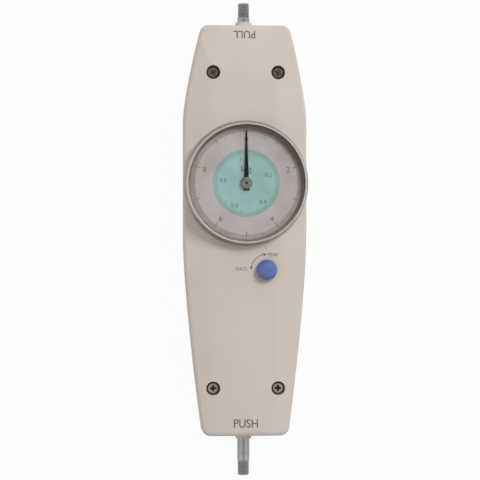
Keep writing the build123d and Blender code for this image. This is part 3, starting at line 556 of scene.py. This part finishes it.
bore = SPIGOT_R + 0.05
low = Z_FACE + 0.05
ledge = 44.1                     # the dial plate lies on it
groove, groove_low, groove_high = bore + 0.5, 42.9, 43.6      # for the snap ring
ring("bezel_turned", [
    (bore, groove_low, 0), (bore, low, 0.02), (BEZEL_R, low, 0.2), (BEZEL_R, low + 1.1, 0.35),
    (RIM_R, Z_RIM - 0.3, 0.15), (RIM_R - 0.2, Z_RIM, 0.1), (DIAL_R + 0.15, Z_RIM, 0.1),
    (DIAL_R, Z_RIM - 0.25, 0.15), (DIAL_R, ledge, 0.05), (bore, ledge, 0.05), (bore, groove_high, 0),
    (groove, groove_high, 0), (groove, groove_low, 0), (bore, groove_low, 0)],
    "bezel", "bezel_metal", ["bezel_ring"], sides=320)

ring("dial_surround", [
    (DIAL_R - 1.5, Z_DIAL, 0.05), (DIAL_R, Z_DIAL, 0.05), (DIAL_R, Z_LENS, 0.05),
    (DIAL_R - 0.3, Z_LENS, 0.05), (DIAL_R - 1.5, Z_DIAL, 0)],
    "bezel", "spacer_dark", ["dial_spacer"], sides=192)

lens_r, lens_top = DIAL_R - 0.02, Z_LENS + 1.5
ring("lens_disc", [
    (0, Z_LENS, 0), (lens_r, Z_LENS, 0.05), (lens_r, lens_top - 0.08, 0.03),
    (lens_r - 0.08, lens_top, 0.03), (0, lens_top, 0)],
    "bezel", "lens_clear", ["lens"], sides=192)

hub_r, hub_top, hub_hole = 2.85, 46.4, 46.2       # the pivot stands in a hole 0.2 mm deep
ring("pointer_hub_turned", [
    (0, hub_hole, 0), (0.62, hub_hole, 0.05), (0.66, hub_top, 0.05), (hub_r - 0.25, hub_top, 0.2),
    (hub_r, hub_top - 0.25, 0.15), (hub_r, 45.65, 0.05), (1.6, 45.65, 0), (1.6, 45.2, 0), (0, 45.2, 0)],
    "pointer_arbor", "hub_metal", ["pointer_hub"], sides=96)

pivot_r, pivot_top = 0.6, hub_top - 0.06
ring("hub_pivot", [(0, pivot_top, 0), (pivot_r, pivot_top, 0.05), (pivot_r, hub_hole, 0), (0, hub_hole, 0)],
     "pointer_arbor", "pointer_black", [], sides=48)

knob_r, knob_low, dome_r, dome_low, dome_rise = 5.0, 42.9, 4.92, 44.6, 4.7
skirt = [(0, knob_low, 0), (knob_r - 0.15, knob_low, 0.15), (knob_r, knob_low + 0.3, 0.2)]
dome = [(dome_r * math.cos(t), dome_low + dome_rise * math.sin(t), 0)
        for t in np.linspace(0.08, np.pi / 2, 24)]
ring("knob_moulded", skirt + dome,
     "knob", "knob_blue", ["knob_cap"], centre=KNOB, sides=128, steps=8)


def bars(rows):
    """Bars from (inner radius, outer radius, half width, angle) round the dial's centre."""
    near, far, wide, angle = np.array(rows).T
    middle = (near + far) / 2
    x, y = middle * np.cos(angle), DIAL_Y + middle * np.sin(angle)
    low, high = np.full(len(near), Z_DIAL - SUNK), np.full(len(near), Z_DIAL + FILM)
    return upright_box_grid(np.stack([x, y, (far - near) / 2, wide, angle, low, high], axis=-1))


def scale_marks():
    """Radial bars on the dial: 200 outer divisions a turn, 50 inner ones, longer at fifths and numbers."""
    rim = 26.2
    rows = []
    for k in range(200):
        long = 2.6 if k % 20 == 0 else 1.9 if k % 10 == 0 else 1.2
        wide = 0.13 if k % 20 == 0 else 0.08 if k % 10 == 0 else 0.055
        rows.append((rim - long, rim, wide, np.pi / 2 - 2 * np.pi * k / 200))
    finish(put("outer_scale", *bars(rows), "bezel", "dial_print", smooth=0), SCALE_INK)
    rim = 15.8
    rows = []
    for k in range(51):
        long = 2.3 if k % 10 == 0 else 1.6 if k % 5 == 0 else 1.0
        wide = 0.07 if k % 5 == 0 else 0.045
        rows.append((rim - long, rim, wide, np.pi / 2 - math.radians(INNER_STEP / 10) * k))
    finish(put("inner_scale", *bars(rows), "bezel", "dial_print", smooth=0), GREEN_INK)


def scale_dots():
    """Round dots, about 0.5 mm across, at the long outer divisions and the inner half divisions.

    A dot is a fan of 12 sides: x = cx + r cos a, y = cy + r sin a, at two heights with its middle on both.
    """
    low, high = Z_DIAL - SUNK, Z_DIAL + FILM
    outer = [(23.4, math.radians(90 - 36 * k), 0.27) for k in range(10)]
    inner = [(13.6, math.radians(90 - INNER_STEP / 2 * (k + 0.5)), 0.22) for k in range(10)]
    for name, rows, ink in (("outer_dots", outer, SCALE_INK), ("inner_dots", inner, GREEN_INK)):
        points, quads = joined([
            turned_up(np.array([[0, low], [r, low], [r, high], [0, high]]),
                      (out * math.cos(a), DIAL_Y + out * math.sin(a)), 12) for out, a, r in rows])
        finish(put(name, points, quads, "bezel", "dial_print", smooth=0), ink)


scale_marks()
scale_dots()


# ---- printed legends -------------------------------------------------------------------------

def moved(mesh, change):
    """The mesh with its (n, 3) array of places replaced by what change makes of it."""
    co = np.zeros(len(mesh.vertices) * 3)
    mesh.vertices.foreach_get("co", co)
    mesh.vertices.foreach_set("co", change(co.reshape(-1, 3)).ravel())
    return mesh


def letters(text, tall, x, y, z, turn=0.0, tilt=0.0, wide=None, bold=0.0):
    """One word as a mesh: cap height and width in mm, turned in its plane, tilted about X, then placed."""
    curve = bpy.data.curves.new(text, "FONT")
    curve.body = text
    curve.align_x = "CENTER"
    curve.align_y = "CENTER"
    curve.size = 1.0
    curve.resolution_u = 4
    curve.offset = bold
    holder = bpy.data.objects.new(text, curve)
    mesh = bpy.data.meshes.new_from_object(holder)
    bpy.data.objects.remove(holder)

    def set_down(co):
        """Scaled round the word's middle, turned about Z, tilted about X and carried to x, y, z."""
        middle = (co.max(axis=0) + co.min(axis=0)) / 2
        scale = tall / np.ptp(co[:, 1])
        co = (co - middle) * (wide / np.ptp(co[:, 0]) if wide else scale, scale, scale)
        c, s = np.cos(turn), np.sin(turn)
        co = co @ np.array([[c, s, 0], [-s, c, 0], [0, 0, 1]])
        c, s = np.cos(tilt), np.sin(tilt)
        co = co @ np.array([[1, 0, 0], [0, c, s], [0, -s, c]])
        return (co + (x, y, z)) * MM

    return moved(mesh, set_down)


def on_shoulder(mesh):
    """The mesh let down onto the casing, whose face folds away with radius FOLD_R beyond FOLD_X.

    z = z - (|x| - FOLD_X)^2 / (2 FOLD_R) beyond that line, the first term of the circle's fall.
    """
    def let_down(co):
        fall = np.maximum(np.abs(co[:, 0]) / MM - FOLD_X, 0) ** 2 / (2 * FOLD_R) * MM
        return co - fall[:, None] * (0, 0, 1)

    return moved(mesh, let_down)


def facet_height(y):
    """Height of the sloping face at the pull end: the face's less the run past its start times tan FACET."""
    return Z_FACE - (y - FACET_Y) * math.tan(FACET)


def legend(name, words, body, ink):
    """Several words joined into one printed piece, given a hair of thickness."""
    work = bmesh.new()
    for mesh in words:
        work.from_mesh(mesh)
        bpy.data.meshes.remove(mesh)
    bmesh.ops.remove_doubles(work, verts=work.verts, dist=1e-7)
    mesh = bpy.data.meshes.new(name)
    work.to_mesh(mesh)
    work.free()
    obj = finish(place(name, mesh, body, smooth=0), ink)
    film = obj.modifiers.new("film", "SOLIDIFY")
    film.thickness = FILM * MM
    film.offset = 1.0
    return obj


def on_dial(places, tall):
    """Upright numbers at (text, radius, degrees clockwise from the top) on the dial."""
    made = []
    for text, radius, degrees in places:
        a = math.radians(90 - degrees)
        made.append(letters(text, tall, radius * math.cos(a), DIAL_Y + radius * math.sin(a), Z_PRINT))
    return made


legend("outer_numbers", on_dial([(str(n), 20.9, 36 * n) for n in (0, 2, 4, 6, 8)], 2.5),
       "bezel", SCALE_INK)
legend("unit_mark", [letters("kg", 3.8, 0.0, DIAL_Y + 6.2, Z_PRINT, wide=5.0)],
       "bezel", SCALE_INK)
legend("inner_numbers", on_dial([("0.2", 11.2, 69.4), ("0.4", 11.8, 138.0), ("0.6", 11.9, 207.8),
                                 ("0.8", 11.1, 276.5), ("1", 11.8, 347.0)], 2.0),
       "bezel", GREEN_INK)

PUSH_Y, PULL_Y = -92.5, 94.0
legend("push_legend", [letters("PUSH", 4.1, 0, PUSH_Y, Z_FACE + 0.01, wide=11.6, bold=0.008)],
       "casing", LEGEND_INK)
legend("pull_legend", [letters("PULL", 3.7, -0.6, PULL_Y, facet_height(PULL_Y) + 0.01,
                               turn=math.pi, tilt=-FACET, wide=10.4, bold=0.008)],
       "casing", LEGEND_INK)
legend("knob_legend", [on_shoulder(letters("PEAK", 1.7, 13.1, -11.6, Z_FACE + 0.02, wide=5.2)),
                       letters("TRACK", 1.7, -2.3, -18.5, Z_FACE + 0.01, wide=6.2)],
       "casing", LEGEND_INK)


def knob_arc():
    """Quarter ring round the knob with an arrowhead at each end, and a tick above it.

    Along t from 0 to 1 the middle line is centre + R (cos a, sin a), a from 180 to 90 degrees, and the
    half width is 0.17 mm. Over the outer 0.135 of each end it is 0.75 mm at the base, falling to nothing.
    """
    R, thin, head, share = 7.56, 0.17, 0.75, 0.135
    t = np.concatenate([[0, share, share + 0.0001], np.linspace(0.14, 0.86, 40),
                        [1 - share - 0.0001, 1 - share, 1.0]])
    a = np.radians(180 - 90 * t)
    from_end = np.minimum(t, 1 - t)
    half = np.where(from_end > share + 1e-8, thin, head * from_end / share)
    r = R + np.array([-1, 1])[None] * half[:, None]
    x, y = KNOB[0] + r * np.cos(a)[:, None], KNOB[1] + r * np.sin(a)[:, None]
    low, high = Z_FACE, Z_FACE + FILM
    corners = [(0, low), (1, low), (1, high), (0, high)]
    grid = np.stack([np.stack([x[:, side], y[:, side], np.full(len(t), level)], axis=-1)
                     for side, level in corners], axis=1)
    tick = upright_box_grid([(KNOB[0] - 0.4, KNOB[1] + 10.6, 0.75, 0.12, np.pi / 2, low, high)])
    points = np.concatenate([grid.reshape(-1, 3), tick[0]])
    quads = np.concatenate([grid_quads(len(t), 4), tick[1] + grid.size // 3])
    return finish(put("knob_arc", points, quads, "casing", "casing_paint", smooth=0), LEGEND_INK)


knob_arc()


# ---- spring ------------------------------------------------------------------------------------

def spring():
    """Compression spring with closed ends.

    The wire's middle runs on (R cos p, y, R sin p), p from 0 to 2 pi times the turns, y rising slowly in
    the end turns and evenly between them; the wire is a circle round that line.
    """
    turns, R, wire, sides = 8.2, 6.5, 0.55, 12
    first, last = 39.6, 66.42            # the wire's middle at the two ends
    s = np.linspace(0, 1, 620)
    rise = np.interp(s, [0, 0.1, 0.9, 1.0], [0, 0.035, 0.965, 1.0])
    y = first + (last - first) * rise
    p = 2 * np.pi * turns * s
    middle = np.stack([R * np.cos(p), y, Z_ROD + R * np.sin(p)], axis=-1)
    along = np.gradient(middle, axis=0)
    along /= np.linalg.norm(along, axis=1, keepdims=True)
    out = np.stack([np.cos(p), 0 * p, np.sin(p)], axis=-1)
    side = np.cross(along, out)
    a = np.linspace(0, 2 * np.pi, sides, endpoint=False)[None, :, None]
    tube = middle[:, None] + wire * (np.cos(a) * out[:, None] + np.sin(a) * side[:, None])
    caps = [np.broadcast_to(middle[k], (1, sides, 3)) for k in (0, -1)]
    tube = np.concatenate([caps[0], tube, caps[1]])
    obj = put("spring_wound", tube.reshape(-1, 3), grid_quads(len(tube), sides), None, "spring_steel",
              ["measuring_spring"], 60)
    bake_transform(obj)
    return finish(obj, "spring_steel")


spring()


# ---- studio ------------------------------------------------------------------------------------

def floor():
    """Pale floor under the object, near white to the camera, still keeping the shadow."""
    seen_white = 0.94
    bpy.ops.mesh.primitive_plane_add(size=6, location=(0, 0, -0.0002))
    plane = bpy.context.object
    plane.name = "floor"
    made, tree = material("studio_floor")
    paper = add(tree, "BsdfDiffuse", Color=colour("#F4F4F4"))
    white = add(tree, "Emission", Color=(1, 1, 1, 1), Strength=1.0)
    path = add(tree, "LightPath")
    share = add(tree, "Math", {"operation": "MULTIPLY"}, _0=path.outputs["Is Camera Ray"], _1=seen_white)
    both = add(tree, "MixShader", _0=share.outputs[0], _1=paper.outputs[0], _2=white.outputs[0])
    show(tree, both.outputs[0])
    plane.data.materials.append(made)


def surroundings():
    """Even soft light from all round, at a level where a colour renders about as written.

    The camera and mirrors see white. Mirrors also see an unlit gap straight overhead, where nothing
    shines, so what faces straight up stays dark. A ray that came through the lens sees the soft light.
    """
    soft, dark, gap_from, gap_to = 0.42, 0.04, 0.93, 0.98
    world = bpy.data.worlds.new("studio")
    world.use_nodes = True
    bpy.context.scene.world = world
    tree = world.node_tree
    plain = tree.nodes["Background"]
    plain.inputs["Color"].default_value = colour("#FFFDFB")
    plain.inputs["Strength"].default_value = soft
    white = add(tree, "Background", Color=(1, 1, 1, 1), Strength=1.0)
    unlit = add(tree, "Background", Color=(1, 1, 1, 1), Strength=dark)
    path = add(tree, "LightPath")
    mirrored = add(tree, "Math", {"operation": "SUBTRACT", "use_clamp": True},
                   _0=path.outputs["Is Glossy Ray"], _1=path.outputs["Is Transmission Ray"]).outputs[0]
    seen = add(tree, "Math", {"operation": "MAXIMUM"}, _0=path.outputs["Is Camera Ray"], _1=mirrored)
    up = add(tree, "SeparateXYZ", _0=add(tree, "TexCoord").outputs["Generated"]).outputs[2]
    overhead = add(tree, "MapRange", Value=up, _1=gap_from, _2=gap_to)
    gap = add(tree, "Math", {"operation": "MULTIPLY"}, _0=overhead.outputs[0], _1=mirrored)
    lit = add(tree, "MixShader", _0=seen.outputs[0], _1=plain.outputs[0], _2=white.outputs[0])
    mix = add(tree, "MixShader", _0=gap.outputs[0], _1=lit.outputs[0], _2=unlit.outputs[0])
    tree.links.new(mix.outputs[0], tree.nodes["World Output"].inputs["Surface"])


def softbox(name, at, size, power):
    """Square lamp of the given size in metres, turned to the origin and left out of first reflections."""
    lamp = bpy.data.lights.new(name, "AREA")
    lamp.size = size
    lamp.energy = power
    obj = bpy.data.objects.new(name, lamp)
    obj.location = at
    obj.visible_glossy = False
    x, y, z = at
    obj.rotation_euler = (math.atan2(math.hypot(x, y), z), 0, math.atan2(y, x) + math.pi / 2)
    bpy.context.scene.collection.objects.link(obj)


def camera():
    """Looks down on the dial from 0.9 m, 4.2 degrees to its left, pull end up."""
    side, away = math.radians(4.2), 0.9
    target = np.array([-1.64, -4.66, Z_ROD]) * MM
    lens = bpy.data.cameras.new("camera")
    lens.lens = 138.4
    lens.sensor_width = 36.0
    lens.clip_end = 10.0
    obj = bpy.data.objects.new("camera", lens)
    obj.location = target + away * np.array([-math.sin(side), 0, math.cos(side)])
    obj.rotation_euler = (0, -side, 0)
    bpy.context.scene.collection.objects.link(obj)
    bpy.context.scene.camera = obj


floor()
surroundings()
softbox("key", (0.56, 0.62, 1.20), 0.45, 11.6)
softbox("fill", (-0.9, -0.3, 0.9), 1.2, 2.2)
camera()
bpy.context.scene.view_settings.view_transform = "Standard"

bpy.context.view_layer.update()
